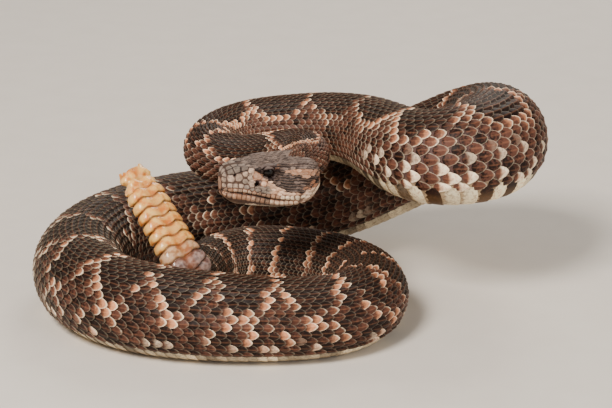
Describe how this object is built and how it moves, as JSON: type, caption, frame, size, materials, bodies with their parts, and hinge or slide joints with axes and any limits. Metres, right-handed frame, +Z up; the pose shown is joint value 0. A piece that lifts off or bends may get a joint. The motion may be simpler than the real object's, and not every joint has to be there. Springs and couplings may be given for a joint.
{
  "type": "southern pacific rattlesnake",
  "caption": "Coiled rattlesnake at rest, one loop of the body raised over the lower coil, broad flat head turned to the side and the banded rattle held up beside it.",
  "frame": {"origin": "on the floor, under the middle of the animal's box", "axes": "+Z up from the floor; +X along the animal's greatest width, away from the side that the head looks to; +Y from the front strand of the coil to the back one"},
  "size_m": [0.2082, 0.1495, 0.0845],
  "materials": {
    "head_skin": "dry scaled skin, grey brown with pale and dark stripes",
    "body_skin": "keeled scales, charcoal and brown blotches edged with cream",
    "tail_skin": "fine scales, dark with pinkish orange bars",
    "dark_eye": "wet and clear over a dark iris",
    "rattle_horn": "dry horn, straw coloured, satin"
  },
  "bodies": {
    "root": {"head": "head_skin", "eye_near": "dark_eye", "eye_far": "dark_eye", "neck_turn": "body_skin", "neck": "body_skin", "upper_band_left": "body_skin", "upper_band_right": "body_skin", "front_loop_left": "body_skin", "front_loop_right": "body_skin", "back_loop": "body_skin", "descent": "body_skin", "back_strand": "body_skin", "coil_left_back": "body_skin", "coil_left_front": "body_skin", "coil_front": "body_skin", "coil_right": "body_skin", "tail_strand": "tail_skin", "tail": "tail_skin", "rattle": "rattle_horn"}
  },
  "joints": []
}
